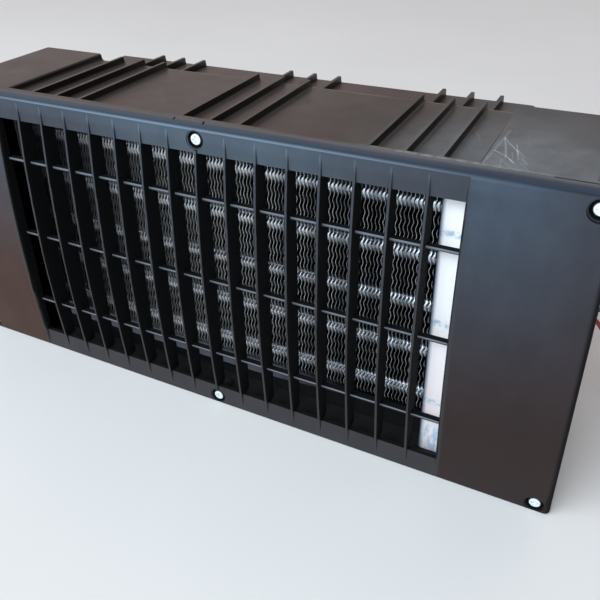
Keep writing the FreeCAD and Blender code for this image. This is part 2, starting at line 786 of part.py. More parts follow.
def core_hairpins():
    # Each hairpin joins a front tube to the rear tube behind it, with its bend on the left.
    pins = []
    for z in tube_levels:
        parts = []
        for y in (front_row_y, rear_row_y):
            parts.append(tube_ring(y, z, tube_left).extrude(Vec(tube_right - tube_left, 0, 0)))
        parts.append(half_bend((front_row_y, z), (rear_row_y, z), tube_left, -1))
        pins.append(fuse_all(parts))
    return Part.makeCompound(pins)


def core_return_bends():
    # Each bend on the right crosses from a front tube to the next rear tube above it.
    bends = []
    for low, high in zip(tube_levels, tube_levels[1:]):
        bends.append(half_bend((front_row_y, low), (rear_row_y, high), tube_right, 1))
    return Part.makeCompound(bends)


def plate_slab(web_x, side, reach, y0, y1):
    xs = sorted((web_x, web_x + side * reach))
    return box(xs[0], xs[1], y0, y1, inner_low + plate_margin, inner_high - plate_margin)


def end_plate(web_x, side, front):
    # A web with holes for the tubes, and a flange at the back turned away from the fins.
    plate = fuse_all([
        plate_slab(web_x, side, plate_thickness, front, core_back),
        plate_slab(web_x, side, plate_rear_flange, core_back - plate_thickness, core_back),
    ])
    holes = [rod_x(tube_radius, web_x - wall, web_x + wall, y, z) for y, z in tube_places]
    holes += [rod_y(housing_shank_radius + contact_gap * 4, x, z, core_back - wall, core_back + 1)
              for x, z in core_screw_places]
    return plate.cut(holes)


def faced_end_plate(web_x, side):
    # The right plate is a channel: it also has a flange at the front, with a rounded bend.
    plate = fuse_all([
        end_plate(web_x, side, plate_front),
        plate_slab(web_x, side, plate_front_flange, plate_front, plate_front + plate_thickness),
    ])
    corner = edges_along(plate, z_axis, lambda p: abs(p.x - web_x) < 0.01 and p.y < plate_front + 0.01)
    plate = plate.makeFillet(plate_bend, corner)
    inner_x = web_x + side * plate_thickness
    inner_y = plate_front + plate_thickness
    corner = edges_along(plate, z_axis, lambda p: abs(p.x - inner_x) < 0.01 and abs(p.y - inner_y) < 0.01)
    return plate.makeFillet(plate_bend - plate_thickness, corner)


def core_screws():
    seat = core_back - plate_thickness
    screws = [pan_screw(x, z, seat, housing_head_radius, head_height, housing_shank_radius, core_screw_length)
              for x, z in core_screw_places]
    return Part.makeCompound(screws)


def core_top_plate():
    return box(plate_left, plate_right, core_front, core_back, core_top, core_top + sheet_thickness)


def core_bottom_plate():
    # The sheet under the fins, with a narrow lip up their front and an apron down the front
    # that is cut on the slant.
    low = core_bottom - sheet_thickness
    apron_low = inner_low + apron_clear
    sheet = box(plate_left, plate_right, core_front, core_back, low, core_bottom)
    front = core_front - sheet_thickness
    outline = [
        Vec(plate_left, front, core_bottom + apron_lip),
        Vec(plate_right, front, core_bottom + apron_lip),
        Vec(plate_right, front, low),
        Vec(plate_right - apron_stop, front, low),
        Vec(plate_left, front, apron_low),
    ]
    apron = Part.Face(Part.makePolygon(outline + outline[:1])).extrude(Vec(0, sheet_thickness, 0))
    return fuse_all([sheet, apron])


def core_foam():
    # A foam block that fills the space under the core and holds it up against the housing's top.
    y0 = core_front + seal_setback
    y1 = core_back - seal_setback
    return box(plate_left, plate_right, y0, y1, inner_low, core_bottom - sheet_thickness)


def water_pipe(start_y, start_z, points):
    # A reducer on the tube end, then the bent pipe, with a collar that stops the hose.
    corners = [(tube_right + reducer_length, start_y, start_z)] + points
    radii = [pipe_bend] * (len(corners) - 2)
    wire = path_wire(corners, radii)
    outer = sweep_round(wire, pipe_radius, corners[0], x_axis)
    bore = sweep_round(wire, pipe_radius - pipe_wall, corners[0], x_axis)
    base = Vec(tube_right, start_y, start_z)
    cone = Part.makeCone(tube_radius, pipe_radius, reducer_length, base, x_axis)
    hole = Part.makeCone(tube_radius - tube_wall, pipe_radius - pipe_wall, reducer_length, base, x_axis)
    stop_y = housing_depth + grommet_lip + stop_length
    collar = rod_y(stop_radius, pipe_x, corners[-1][2], stop_y, stop_y + stop_length)
    pipe = fuse_all([outer, cone, collar])
    return pipe.cut([bore, hole])


def inlet_pipe():
    y = front_row_y
    z = tube_levels[-1]
    return water_pipe(y, z, [(pipe_x, y, z), (pipe_x, y, inlet_z), (pipe_x, spigot_end, inlet_z)])


def outlet_pipe():
    y = rear_row_y
    z = tube_levels[0]
    return water_pipe(y, z, [(pipe_x, y, z), (pipe_x, spigot_end, z)])


def pipe_grommets():
    rings = []
    for z in pipe_places.values():
        front = housing_depth - wall - grommet_lip
        ring = fuse_all([
            rod_y(grommet_lip_radius, pipe_x, z, front, front + grommet_lip),
            rod_y(pipe_radius + grommet_wall, pipe_x, z, front, housing_depth + grommet_lip),
            rod_y(grommet_lip_radius, pipe_x, z, housing_depth, housing_depth + grommet_lip),
        ])
        rings.append(ring.cut(rod_y(pipe_radius, pipe_x, z, front - 1, housing_depth + grommet_lip + 1)))
    return Part.makeCompound(rings)


def mounting_inserts():
    inserts = []
    for x, y in insert_places:
        body = rod_z(insert_radius, x, y, 0, insert_length)
        inserts.append(body.cut(rod_z(insert_bore, x, y, -1, insert_length + 1)))
    return Part.makeCompound(inserts)


# Routes of the two leads from the grommet's outer face down to the floor behind it.
lead_face = housing_half + grommet_lip
black_exit = (lead_face, lead_grommet_y - lead_spread_y, lead_grommet_z + lead_spread_z)
red_exit = (lead_face, lead_grommet_y + lead_spread_y, lead_grommet_z - lead_spread_z)
lead_routes = {
    "black": [
        black_exit,
        (196.0, 48.8, 96.3),
        (206.3, 49.6, 94.2),
        (215.5, 52.6, 86.8),
        (222.0, 57.8, 75.0),
        (226.0, 65.0, 60.5),
        (227.5, 74.5, 45.0),
        (227.0, 86.0, 30.5),
        (225.3, 99.5, 18.5),
        (223.3, 114.0, 9.4),
        (221.9, 128.5, 4.0),
        (221.2, 142.5, 2.0),
        (221.6, 155.0, 1.9),
    ],
    "red": [
        red_exit,
        (194.3, 51.3, 89.4),
        (200.0, 51.9, 82.0),
        (204.2, 53.6, 73.0),
        (207.5, 57.0, 62.0),
        (210.0, 62.5, 50.0),
        (211.5, 70.0, 38.0),
        (212.0, 80.0, 26.8),
        (211.7, 92.0, 17.0),
        (211.0, 105.5, 9.4),
        (210.3, 119.5, 4.4),
        (210.0, 133.5, 2.2),
        (210.2, 146.5, 1.9),
    ],
}


def lead_bends(points):
    # Each bend is as large as its two runs allow.
    radii = []
    for before, corner, after in zip(points, points[1:], points[2:]):
        back = Vec(*before) - Vec(*corner)
        ahead = Vec(*after) - Vec(*corner)
        half_turn = (math.pi - back.getAngle(ahead)) / 2
        radii.append(0.45 * min(back.Length, ahead.Length) / math.tan(half_turn))
    return radii


def lead(colour):
    points = lead_routes[colour]
    radii = lead_bends(points)
    wire = path_wire(points, radii)
    direction = (Vec(*points[1]) - Vec(*points[0])).normalize()
    free = sweep_round(wire, lead_radius, points[0], direction)
    expected = math.pi * lead_radius ** 2 * wire.Length
    print(f"lead {colour}: length {wire.Length:.1f}, tightest bend {min(radii):.1f}, "
          f"volume share {free.Volume / expected:.4f}")
    return free


def lead_terminal(colour):
    # A crimp barrel on the end of the lead, then a flat push-on receptacle.
    before = Vec(*lead_routes[colour][-2])
    end = Vec(*lead_routes[colour][-1])
    z = end.z
    barrel = rod_y(terminal_barrel_radius, 0, z, 0, terminal_barrel_length)
    y0 = terminal_barrel_length - 1
    y1 = y0 + terminal_blade_length
    blade = box(-terminal_blade_width / 2, terminal_blade_width / 2, y0, y1,
                z - terminal_blade_height / 2, z + terminal_blade_height / 2)
    slot = box(-terminal_slot_width / 2, terminal_slot_width / 2, y0 + 2, y1 + 1,
               z - terminal_slot_height / 2, z + terminal_slot_height / 2)
    terminal = fuse_all([barrel, blade]).cut(slot)
    heading = end - before
    terminal.rotate(Vec(0, 0, 0), z_axis, -math.degrees(math.atan2(heading.x, heading.y)))
    terminal.translate(Vec(end.x, end.y, 0))
    return terminal


def lead_grommet():
    y = lead_grommet_y
    z = lead_grommet_z
    inside = housing_half - wall - grommet_lip
    return fuse_all([
        rod_x(lead_grommet_lip, inside, inside + grommet_lip, y, z),
        rod_x(lead_grommet_radius, inside, lead_face, y, z),
        rod_x(lead_grommet_lip, housing_half, lead_face, y, z),
    ])


def save(name, shape):
    placed = shape.copy()
    placed.translate(origin_shift)
    placed.exportStep(f"parts/{name}.step")
    solids = placed.Solids
    print(f"{name}: {len(solids)} solids, valid {placed.isValid()}, volume {placed.Volume:.0f}")


os.makedirs("parts", exist_ok=True)
save("front_grille", front_grille())
save("fascia_screws", fascia_screws())
save("front_housing", front_housing())
save("rear_housing", rear_housing())
save("housing_screws", housing_screws())
for side_name, place in fan_places.items():
    save(f"fan_shroud_{side_name}", fan_shroud(place))
    save(f"fan_guard_{side_name}", fan_guard(place))
    save(f"fan_motor_{side_name}", fan_motor(place))
    save(f"fan_shaft_{side_name}", fan_shaft(place))
    save(f"fan_impeller_{side_name}", fan_impeller(place))
    save(f"impeller_clip_{side_name}", impeller_clip(place))
save("guard_screws", guard_screws())
save("motor_screws", motor_screws())
save("core_fins", core_fins())
save("core_hairpins", core_hairpins())
save("core_return_bends", core_return_bends())
save("core_end_plate_left", end_plate(plate_left, -1, core_front))
save("core_end_plate_right", faced_end_plate(plate_right, 1))
save("core_screws", core_screws())
save("core_top_plate", core_top_plate())
save("core_bottom_plate", core_bottom_plate())
save("core_foam", core_foam())
save("inlet_pipe", inlet_pipe())
save("outlet_pipe", outlet_pipe())
save("pipe_grommets", pipe_grommets())
save("mounting_inserts", mounting_inserts())
save("lead_grommet", lead_grommet())
for colour_name in lead_routes:
    save(f"lead_{colour_name}", lead(colour_name))
    save(f"lead_terminal_{colour_name}", lead_terminal(colour_name))
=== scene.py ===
import math
import bpy
import numpy as np
from mathutils import Matrix, Vector


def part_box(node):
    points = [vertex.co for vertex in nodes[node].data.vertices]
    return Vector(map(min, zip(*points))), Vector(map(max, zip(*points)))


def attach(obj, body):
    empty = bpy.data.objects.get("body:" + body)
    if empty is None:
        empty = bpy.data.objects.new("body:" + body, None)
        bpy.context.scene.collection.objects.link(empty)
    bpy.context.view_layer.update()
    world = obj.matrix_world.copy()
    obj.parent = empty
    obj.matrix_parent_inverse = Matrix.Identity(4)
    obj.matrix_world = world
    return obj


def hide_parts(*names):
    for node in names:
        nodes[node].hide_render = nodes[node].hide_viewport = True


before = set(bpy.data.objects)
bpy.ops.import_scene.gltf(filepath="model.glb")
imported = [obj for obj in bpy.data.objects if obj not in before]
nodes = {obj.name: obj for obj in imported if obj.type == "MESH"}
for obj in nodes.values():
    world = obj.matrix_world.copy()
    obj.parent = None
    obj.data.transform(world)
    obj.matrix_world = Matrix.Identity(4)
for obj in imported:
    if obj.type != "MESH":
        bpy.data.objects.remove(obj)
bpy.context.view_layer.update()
scene = bpy.context.scene
print("frame loaded:", len(nodes), "nodes")


# camera at the photo's place, with its level, tilt and small shift; angles in degrees, lens in mm
cameraView = {
    "place": (0.192588, -0.343691, 0.296502),
    "azimuth": -27.937,
    "elevation": -30.433,
    "roll": 1.567,
    "lens": 42.452,
    "sensor": 36,
    "shift": (0.02706, -0.07064),
    "clip": (0.01, 50),
}


def placeCamera(view):
    # rows of the camera: right, down and forward from azimuth, elevation and roll
    a, e, r = (math.radians(view[k]) for k in ("azimuth", "elevation", "roll"))
    forward = Vector((math.sin(a) * math.cos(e), math.cos(a) * math.cos(e), math.sin(e)))
    right = Vector((math.cos(a), -math.sin(a), 0))
    down = forward.cross(right)
    side = right * math.cos(r) + down * math.sin(r)
    below = down * math.cos(r) - right * math.sin(r)
    turn = Matrix((side, -below, -forward)).transposed().to_4x4()
    data = bpy.data.cameras.new("photoCamera")
    data.sensor_width = view["sensor"]
    data.lens = view["lens"]
    data.shift_x, data.shift_y = view["shift"]
    data.clip_start, data.clip_end = view["clip"]
    camera = bpy.data.objects.new("photoCamera", data)
    camera.matrix_world = Matrix.Translation(view["place"]) @ turn
    scene.collection.objects.link(camera)
    scene.camera = camera


placeCamera(cameraView)
scene.view_settings.view_transform = "Standard"
print("camera placed")


def opaque(tone):
    # a colour or a grey level as red, green, blue and full opacity; a socket stays as it is
    if isinstance(tone, bpy.types.NodeSocket):
        return tone
    return (*tone, 1) if isinstance(tone, tuple) else (tone, tone, tone, 1)


# node helpers for the finishes and the room light
class Nodes:
    def __init__(self, tree):
        self.tree = tree
        self.made = {}

    def add(self, kind, inputs=None, **settings):
        node = self.tree.nodes.new("ShaderNode" + kind)
        for key, value in settings.items():
            setattr(node, key, value)
        for key, value in (inputs or {}).items():
            self.put(node.inputs[key], value)
        return node

    def put(self, socket, value):
        if isinstance(value, bpy.types.NodeSocket):
            self.tree.links.new(value, socket)
        else:
            socket.default_value = value

    def once(self, key, make):
        if key not in self.made:
            self.made[key] = make()
        return self.made[key]

    def place(self):
        return self.once("place", lambda: self.add("TexCoord").outputs["Object"])

    def spot(self, axis):
        # X, Y or Z of the place on the piece
        return self.once("spot", lambda: self.axes(self.place()))[axis]

    def facing(self, axis):
        # X, Y or Z of the direction that the surface faces
        return self.once("facing", lambda: self.axes(self.add("NewGeometry").outputs["Normal"]))[axis]

    def axes(self, vector):
        return self.add("SeparateXYZ", {"Vector": vector}).outputs

    def math(self, operation, a, b=None, c=None, clamp=False):
        node = self.add("Math", operation=operation, use_clamp=clamp)
        for socket, value in zip(node.inputs, (a, b, c)):
            if value is not None:
                self.put(socket, value)
        return node.outputs["Value"]

    def chain(self, operation, values):
        total = values[0]
        for value in values[1:]:
            total = self.math(operation, total, value)
        return total

    def times(self, *values):
        return self.chain("MULTIPLY", values)

    def most(self, *values):
        return self.chain("MAXIMUM", values)

    def least(self, *values):
        return self.chain("MINIMUM", values)

    def vectors(self, operation, a, b):
        node = self.add("VectorMath", {0: a, 1: b}, operation=operation)
        return node.outputs["Value" if operation in ("DISTANCE", "DOT_PRODUCT") else "Vector"]

    def span(self, value, low, high):
        # 0 below low, 1 above high; the other way round when low is above high
        ends = {"From Min": min(low, high), "From Max": max(low, high)}
        ends["To Min"], ends["To Max"] = (0.0, 1.0) if low < high else (1.0, 0.0)
        node = self.add("MapRange", {"Value": value, **ends}, interpolation_type="SMOOTHSTEP")
        return node.outputs["Result"]

    def within(self, value, low, high, soft):
        rise = self.span(value, low - soft, low + soft)
        return self.times(rise, self.span(value, high + soft, high - soft))

    def fit(self, value, ends):
        # from 0 to 1 between two ends; with a third value, a band whose edges are that soft
        return self.span(value, *ends) if len(ends) == 2 else self.within(value, *ends)

    def at(self, axis, ends):
        return self.fit(self.spot(axis), ends)

    def faces(self, axis, ends):
        return self.fit(self.facing(axis), ends)

    def stroke(self, start, end, width, soft):
        # a line on the top: the distance from its two ends' segment, in plan
        ahead = Vector((*end, 0)) - Vector((*start, 0))
        plan = self.vectors("MULTIPLY", self.place(), (1, 1, 0))
        run = self.vectors("SUBTRACT", plan, (*start, 0))
        along = self.vectors("DOT_PRODUCT", run, ahead / ahead.length_squared)
        along = self.math("MULTIPLY", along, 1.0, clamp=True)
        foot = self.add("VectorMath", {0: tuple(ahead), "Scale": along}, operation="SCALE").outputs["Vector"]
        return self.span(self.vectors("DISTANCE", run, foot), width + soft, width)

    def noise(self, scale, detail=3.0, rough=0.55, stretch=None):
        source = self.place()
        if stretch:
            source = self.add("Mapping", {"Vector": source, "Scale": stretch}).outputs["Vector"]
        node = self.add("TexNoise", {"Vector": source, "Scale": scale, "Detail": detail, "Roughness": rough})
        return node.outputs["Fac"]

    def ramp(self, value, *stops):
        node = self.add("ValToRGB", {"Fac": value})
        points = node.color_ramp.elements
        while len(points) < len(stops):
            points.new(0.5)
        for point, (at, tone) in zip(points, stops):
            point.position = at
            point.color = opaque(tone)
        return node.outputs["Color"]

    def patches(self, grain, stops, stretch=None):
        return self.ramp(self.noise(*grain, stretch=stretch), *stops)

    def mix(self, share, a, b, blend="MIX"):
        node = self.add("Mix", data_type="RGBA", blend_type=blend)
        for key, value in ((0, share), (6, opaque(a)), (7, opaque(b))):
            self.put(node.inputs[key], value)
        return node.outputs[2]

    def bump(self, height, strength, depth):
        node = self.add("Bump", {"Height": height, "Strength": strength, "Distance": depth})
        return node.outputs["Normal"]

    def relief(self, grain, strength, depth):
        return self.bump(self.noise(*grain), strength, depth)


class Finish(Nodes):
    def __init__(self, name):
        self.material = bpy.data.materials.new(name)
        self.material.use_nodes = True
        super().__init__(self.material.node_tree)
        self.shader = self.tree.nodes["Principled BSDF"]

    def set(self, **values):
        for key, value in values.items():
            self.put(self.shader.inputs[key.replace("_", " ")], value)


def dress(finish, *names):
    for name in names:
        mesh = nodes[name].data
        mesh.materials.clear()
        mesh.materials.append(finish.material)


# supply leads, in mm from the fascia's front plane: the same points as the routes of the solids
leadLook = {
    "frontToOrigin": 71.0,
    "radius": 1.1,
    "routes": {
        "black": [
            (187.0, 48.8, 96.3), (196.0, 48.8, 96.3), (206.3, 49.6, 94.2), (215.5, 52.6, 86.8),
            (222.0, 57.8, 75.0), (226.0, 65.0, 60.5), (227.5, 74.5, 45.0), (227.0, 86.0, 30.5),
            (225.3, 99.5, 18.5), (223.3, 114.0, 9.4), (221.9, 128.5, 4.0), (221.2, 142.5, 2.0),
            (221.6, 155.0, 1.9),
        ],
        "red": [
            (187.0, 51.2, 92.9), (194.3, 51.3, 89.4), (200.0, 51.9, 82.0), (204.2, 53.6, 73.0),
            (207.5, 57.0, 62.0), (210.0, 62.5, 50.0), (211.5, 70.0, 38.0), (212.0, 80.0, 26.8),
            (211.7, 92.0, 17.0), (211.0, 105.5, 9.4), (210.3, 119.5, 4.4), (210.0, 133.5, 2.2),
            (210.2, 146.5, 1.9),
        ],
    },
    "length": {"black": 0.1765, "red": 0.1548},
    "lineOrder": 3,
    "lineSteps": 10,
    "roundSteps": 4,
    "colour": {"black": (0.012, 0.012, 0.013), "red": (0.23, 0.012, 0.012)},
    "paleTimes": 1.8,
    "paleMore": 0.01,
    "tint": {"grain": (260, 2.0), "stops": ((0.3, 0.0), (0.8, 0.6))},
    "gloss": {"grain": (120,), "stops": ((0.3, 0.30), (0.7, 0.44))},
    "relief": {"grain": (900, 2.0), "strength": 0.10, "depth": 0.0002},
}


def insulation(look, colour):
    finish = Finish(colour + "Insulation")
    tone = look["colour"][colour]
    pale = tuple(min(1, c * look["paleTimes"] + look["paleMore"]) for c in tone)
    finish.set(
        Base_Color=finish.mix(finish.patches(**look["tint"]), tone, pale),
        Roughness=finish.patches(**look["gloss"]),
        Normal=finish.relief(**look["relief"]),
    )
    return finish


def supplyLead(look, colour):
    # a round tube on a smooth line that takes the route's points as its control points
    back = look["frontToOrigin"]
    route = [(x / 1000, (y - back) / 1000, z / 1000) for x, y, z in look["routes"][colour]]
    data = bpy.data.curves.new("lead_" + colour + "_line", "CURVE")
    data.dimensions = "3D"
    data.bevel_depth = look["radius"] / 1000
    data.bevel_resolution = look["roundSteps"]
    data.use_fill_caps = True
    line = data.splines.new("NURBS")
    line.points.add(len(route) - 1)
    for point, place in zip(line.points, route):
        point.co = (*place, 1)
    line.order_u = look["lineOrder"]
    line.use_endpoint_u = True
    line.resolution_u = look["lineSteps"]
    data.materials.append(insulation(look, colour).material)
    piece = bpy.data.objects.new("supply_lead_" + colour, data)
    scene.collection.objects.link(piece)
    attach(piece, "heater")
    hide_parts("lead_" + colour)


supplyLead(leadLook, "black")
supplyLead(leadLook, "red")
print("leads laid")


# black moulded plastic, a little paler in patches
mouldLook = {
    "deep": (0.0120, 0.0115, 0.0115),
    "worn": (0.026, 0.025, 0.025),
    "cloud": {"grain": (14, 4.0, 0.6), "stops": ((0.35, 0.0), (0.75, 0.7))},
}


def mouldTone(finish):
    return finish.mix(finish.patches(**mouldLook["cloud"]), mouldLook["deep"], mouldLook["worn"])


# the fascia: a painted cool sheen, lighter towards its top, and painted shade, black between the louvers
# a name that ends in X, Y or Z is a place in metres, one in Facing a share of the surface's direction
fasciaLook = {
    # painted warm reflection low down, stronger at the left, and a painted cool sheen that grows with height
    # and dims to the right
    "low": (0.016, 0.007, 0.006),
    "lowLeft": (0.036, 0.011, 0.004),
    "lowLeftX": (-0.06, -0.15),
    "high": (0.035, 0.051, 0.071),
    "highZ": (0.04, 0.20),
    "dimX": (0.15, 0.20),
    "dimTo": 0.5,
    "smudge": {"grain": (70, 4.0, 0.6), "stops": ((0.35, 0.86), (0.65, 1.08)), "stretch": (1, 1, 0.6)},
    "frontFacing": (-0.5, -0.95),
    # strips under and over the opening; the one over it carries a painted cool sheen, strongest in the
    # middle
    "stripX": (0.1385, 0.1360),
    "band": (0.026, 0.023, 0.025),
    "bandZ": (0.0150, 0.0130),
    "crown": (0.045, 0.061, 0.077),
    "crownEnds": (0.031, 0.036, 0.047),
    "crownZ": (0.1630, 0.1640),
    "crownMiddleX": 0.01,
    "crownReachX": (0.03, 0.10),
    # louvers and bars in the opening, with a painted highlight on each bar's upper front edge
    "openingX": (0.1385, 0.1370),
    "openingZ": (0.0135, 0.1635, 0.0003),
    "louverEdge": (0.034, 0.034, 0.036),
    "louverShare": 0.5,
    "louverY": (-0.0710, -0.0713),
    "bars": (0.0378, 0.0879, 0.1380),
    "barEdge": (0.130, 0.146, 0.166),
    "barEdgeZ": (-0.0001, 0.0010, 0.0003),
    "barY": (-0.0705, -0.0698, 0.0001),
    "barFacing": (-0.6, -0.9),
    # what light doesn't reach
    "shade": (0.0008, 0.0008, 0.0010),
    "jambX": (0.150, 0.145),
    "jambFacing": (0.4, 0.8),
    "sillZ": (0.0120, 0.1650, 0.0003),
    "sillFacing": (0.4, 0.8),
    "brimX": (0.1900, 0.1920),
    "brimFacing": (0.0, 0.85),
    "screwX": (-0.1873, 0.0, 0.1873),
    "screwZ": (0.0053, 0.1706),
    "pocketRadius": (0.0048, 0.0046),
    "pocketY": (-0.0709, -0.0704),
    # the rounded top edge, its shine given along the width
    "roundZ": (0.168, 0.172),
    "roundEdge": (0.135, 0.195, 0.265),
    "roundFacing": (0.12, 0.76, 0.2),
    "roundShine": ((0.15, 0.50), (0.26, 0.68), (0.44, 0.78), (0.65, 0.55), (0.8, 0.25), (0.95, 0.0)),
    "shineWidth": 0.4,
    # painted shade on the right end of the rounded edge, where no highlight falls
    "roundDark": (0.002, 0.006, 0.012),
    "darkFacing": (0.60, 0.95, 0.15),
    "darkX": (0.09, 0.16),
    "darkShare": 0.5,
    # the rim on top, up to the seam with the housing: greyer to the back, bluer to the front with a painted
    # cool sheen
    "rimZ": (0.170, 0.1755),
    "rimFacing": (0.70, 0.90),
    "rimBack": (0.100, 0.092, 0.092),
    "rimFront": (0.030, 0.054, 0.080),
    "rimBackRight": (0.112, 0.122, 0.136),
    "rimFrontRight": (0.020, 0.036, 0.057),
    "rimY": (-0.0610, -0.0668),
    "rimRightX": (0.0, 0.14),
    "speck": {"grain": (90, 5.0, 0.7), "stops": ((0.4, 0.85), (0.8, 1.0))},
    "seam": ((0.1680, -0.0608), (0.1960, -0.0609)),
    "seamWidth": 0.0005,
    "nicks": [((-0.0160, -0.0648), (-0.0171, -0.0624)), ((0.0018, -0.0654), (0.0002, -0.0620))],
    "nickWidth": 0.0003,
    "softLine": 0.0004,
    # gloss and grain
    "gloss": {"grain": (40, 3.0), "stops": ((0.3, 0.40), (0.75, 0.52))},
    "mattRough": 0.75,
    "mattFacing": (0.15, 0.95, 0.12),
    "mattX": (0.10, 0.16),
    "roundRough": 0.62,
    "relief": {"grain": (1500, 2.0, 0.6), "strength": 0.12, "depth": 0.0003},
    "shine": 0.26,
}


def screwReach(finish):
    # distance in the front view to the nearest fascia screw's axis
    flat = finish.vectors("MULTIPLY", finish.place(), (1, 0, 1))
    axes = [(x, 0, z) for x in fasciaLook["screwX"] for z in fasciaLook["screwZ"]]
    return finish.least(*(finish.vectors("DISTANCE", flat, axis) for axis in axes))


def openingShare(finish, look):
    wide = finish.math("ABSOLUTE", finish.spot("X"))
    return finish.times(finish.fit(wide, look["openingX"]), finish.at("Z", look["openingZ"]))


def frontTone(finish, look):
    # painted light on the front: a warm reflection low down and at the left, and a cool sheen towards the
    # top
    low = finish.mix(finish.at("X", look["lowLeftX"]), look["low"], look["lowLeft"])
    dim = finish.ramp(finish.at("X", look["dimX"]), (0.0, 1.0), (1.0, look["dimTo"]))
    sheen = finish.mix(finish.times(finish.at("Z", look["highZ"]), dim), low, look["high"])
    strip = finish.fit(finish.math("ABSOLUTE", finish.spot("X")), look["stripX"])
    sheen = finish.mix(finish.times(strip, finish.at("Z", look["bandZ"])), sheen, look["band"])
    # painted cool sheen on the strip over the opening
    aside = finish.math("ABSOLUTE", finish.math("SUBTRACT", finish.spot("X"), look["crownMiddleX"]))
    crown = finish.mix(finish.fit(aside, look["crownReachX"]), look["crown"], look["crownEnds"])
    sheen = finish.mix(finish.times(strip, finish.at("Z", look["crownZ"])), sheen, crown)
    sheen = finish.mix(1.0, sheen, finish.patches(**look["smudge"]), "MULTIPLY")
    front = finish.faces("Y", look["frontFacing"])
    tone = finish.mix(front, mouldTone(finish), sheen)
    louver = finish.times(openingShare(finish, look), front, finish.at("Y", look["louverY"]))
    return finish.mix(finish.times(louver, look["louverShare"]), tone, look["louverEdge"])


def shadeShare(finish, look):
    # the sides and sills of the opening, the fascia's right edge and the screws' pockets
    wide = finish.math("ABSOLUTE", finish.spot("X"))
    side = finish.fit(finish.math("ABSOLUTE", finish.facing("X")), look["jambFacing"])
    jamb = finish.times(side, finish.at("Z", look["openingZ"]), finish.fit(wide, look["jambX"]))
    sill = finish.times(finish.fit(wide, look["openingX"]), finish.at("Z", look["sillZ"]))
    sill = finish.times(finish.faces("Z", look["sillFacing"]), sill)
    brim = finish.times(finish.faces("X", look["brimFacing"]), finish.at("X", look["brimX"]))
    pocket = finish.fit(screwReach(finish), look["pocketRadius"])
    pocket = finish.times(finish.at("Y", look["pocketY"]), pocket)
    return finish.most(sill, jamb, brim, pocket)


def barTone(finish, look, tone):
    # a painted highlight along the upper front edge of each bar
    front = finish.times(finish.faces("Y", look["barFacing"]), finish.at("Y", look["barY"]))
    front = finish.times(openingShare(finish, look), front)
    for level in look["bars"]:
        line = finish.fit(finish.math("SUBTRACT", finish.spot("Z"), level), look["barEdgeZ"])
        tone = finish.mix(finish.times(front, line), tone, look["barEdge"])
    return tone


def roundShare(finish, look):
    # the shine on the rounded top edge, which fades to the right
    along = finish.math("MULTIPLY_ADD", finish.spot("X"), 1 / look["shineWidth"], 0.5)
    bent = finish.times(finish.faces("Z", look["roundFacing"]), finish.at("Z", look["roundZ"]))
    return finish.times(bent, finish.ramp(along, *look["roundShine"]))


def roundRight(finish, look, facing, ends):
    # the right end of the rounded top edge
    bent = finish.times(finish.faces("Z", facing), finish.at("Z", look["roundZ"]))
    return finish.times(bent, finish.at("X", ends))


def rimTone(finish, look, tone, rim, nick):
    # greyer to the back, bluer to the front with a painted cool sheen, with dark nicks and a dark stretch of
    # the seam
    right = finish.at("X", look["rimRightX"])
    back = finish.mix(right, look["rimBack"], look["rimBackRight"])
    front = finish.mix(right, look["rimFront"], look["rimFrontRight"])
    rimGreyAndSheen = finish.mix(finish.at("Y", look["rimY"]), back, front)
    tone = finish.mix(finish.times(rim, finish.patches(**look["speck"])), tone, rimGreyAndSheen)
    tone = finish.mix(nick, tone, look["shade"])
    seam = finish.stroke(*look["seam"], look["seamWidth"], look["softLine"])
    return finish.mix(finish.times(rim, seam), tone, look["shade"])


def fasciaFinish(look):
    finish = Finish("fasciaBlack")
    shaded = shadeShare(finish, look)
    bend = roundShare(finish, look)
    # painted shade on the right end of the rounded edge
    dark = roundRight(finish, look, look["darkFacing"], look["darkX"])
    dark = finish.times(dark, look["darkShare"])
    rim = finish.times(finish.faces("Z", look["rimFacing"]), finish.at("Z", look["rimZ"]))
    nicks = [finish.stroke(*ends, look["nickWidth"], look["softLine"]) for ends in look["nicks"]]
    nick = finish.times(rim, finish.most(*nicks))
    tone = finish.mix(shaded, frontTone(finish, look), look["shade"])
    tone = barTone(finish, look, tone)
    tone = finish.mix(bend, finish.mix(dark, tone, look["roundDark"]), look["roundEdge"])
    matt = roundRight(finish, look, look["mattFacing"], look["mattX"])
    rough = finish.mix(matt, finish.patches(**look["gloss"]), look["mattRough"])
    rough = finish.mix(bend, rough, look["roundRough"])
    finish.set(
        Base_Color=rimTone(finish, look, tone, rim, nick),
        Roughness=finish.mix(finish.most(shaded, nick), rough, 1.0),
        Normal=finish.relief(**look["relief"]),
        Specular_IOR_Level=look["shine"],
    )
    return finish
